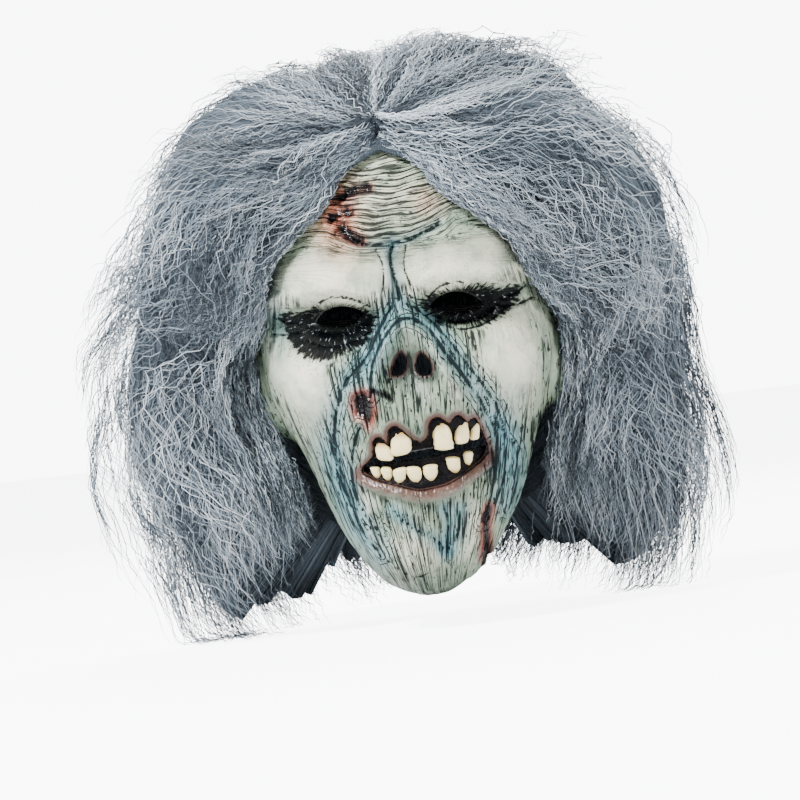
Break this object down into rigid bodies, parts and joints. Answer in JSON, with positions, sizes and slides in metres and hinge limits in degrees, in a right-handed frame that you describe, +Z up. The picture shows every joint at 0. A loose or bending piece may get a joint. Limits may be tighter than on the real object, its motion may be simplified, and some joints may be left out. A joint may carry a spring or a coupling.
{
  "type": "halloween mask",
  "caption": "Over-the-head latex monster mask with a hinged jaw, crooked teeth, crimped grey-blue hair on wefts and an elastic strap behind the head.",
  "frame": {"origin": "middle of the wearer's head, between the ears at the height of the eye openings", "axes": "the face looks along -Y, +X is the wearer's left, +Z is up towards the crown"},
  "size_m": [0.3377, 0.2497, 0.2995],
  "materials": {
    "latex_skin": "satin",
    "gum_black": "gloss",
    "tooth_enamel": "gloss",
    "hair": "matte",
    "weft_tape": "matte",
    "strap_patch": "matte",
    "steel": "polished",
    "elastic": "matte",
    "slider_plastic": "satin"
  },
  "bodies": {
    "mask": {"face_skin": "latex_skin", "upper_gum": "gum_black", "upper_tooth_1": "tooth_enamel", "upper_tooth_2": "tooth_enamel", "upper_tooth_3": "tooth_enamel", "upper_tooth_4": "tooth_enamel", "upper_tooth_5": "tooth_enamel", "crown_hair": "hair", "hairline_weft_left": "weft_tape", "hairline_weft_right": "weft_tape", "crown_weft_left": "weft_tape", "crown_weft_right": "weft_tape", "strap_patch_left": "strap_patch", "strap_patch_right": "strap_patch", "strap_rivet_left": "steel", "strap_rivet_right": "steel"},
    "jaw": {"jaw_skin": "latex_skin", "lower_gum": "gum_black", "lower_tooth_1": "tooth_enamel", "lower_tooth_2": "tooth_enamel", "lower_tooth_3": "tooth_enamel", "lower_tooth_4": "tooth_enamel", "lower_tooth_5": "tooth_enamel", "lower_tooth_6": "tooth_enamel", "lower_tooth_7": "tooth_enamel"},
    "hair_left": {"left_hair": "hair"},
    "hair_right": {"right_hair": "hair"},
    "hair_back": {"back_hair": "hair"},
    "strap": {"elastic_strap": "elastic", "strap_tail": "elastic"},
    "slider": {"strap_slider": "slider_plastic"}
  },
  "joints": [
    {"name": "mouth_open", "type": "hinge", "parent": "mask", "child": "jaw", "pos_m": [0, 0.034, -0.051], "axis": [1, 0, 0], "range_deg": [0, 7], "stiffness_Nm_per_rad": 2, "springref_deg": -3.44},
    {"name": "hair_left_sway", "type": "hinge", "parent": "mask", "child": "hair_left", "pos_m": [0.076, 0.01, 0.062], "axis": [0, -1, 0], "range_deg": [0, 12]},
    {"name": "hair_right_sway", "type": "hinge", "parent": "mask", "child": "hair_right", "pos_m": [-0.076, 0.01, 0.062], "axis": [0, 1, 0], "range_deg": [0, 12]},
    {"name": "hair_back_lift", "type": "hinge", "parent": "mask", "child": "hair_back", "pos_m": [0, 0.055, 0.105], "axis": [1, 0, 0], "range_deg": [0, 20]},
    {"name": "strap_swing", "type": "hinge", "parent": "mask", "child": "strap", "pos_m": [0, 0.012, -0.01], "axis": [1, 0, 0], "range_deg": [-30, 40]},
    {"name": "slider_travel", "type": "slide", "parent": "strap", "child": "slider", "axis": [1, 0, 0], "range_m": [-0.015, 0.015]}
  ]
}
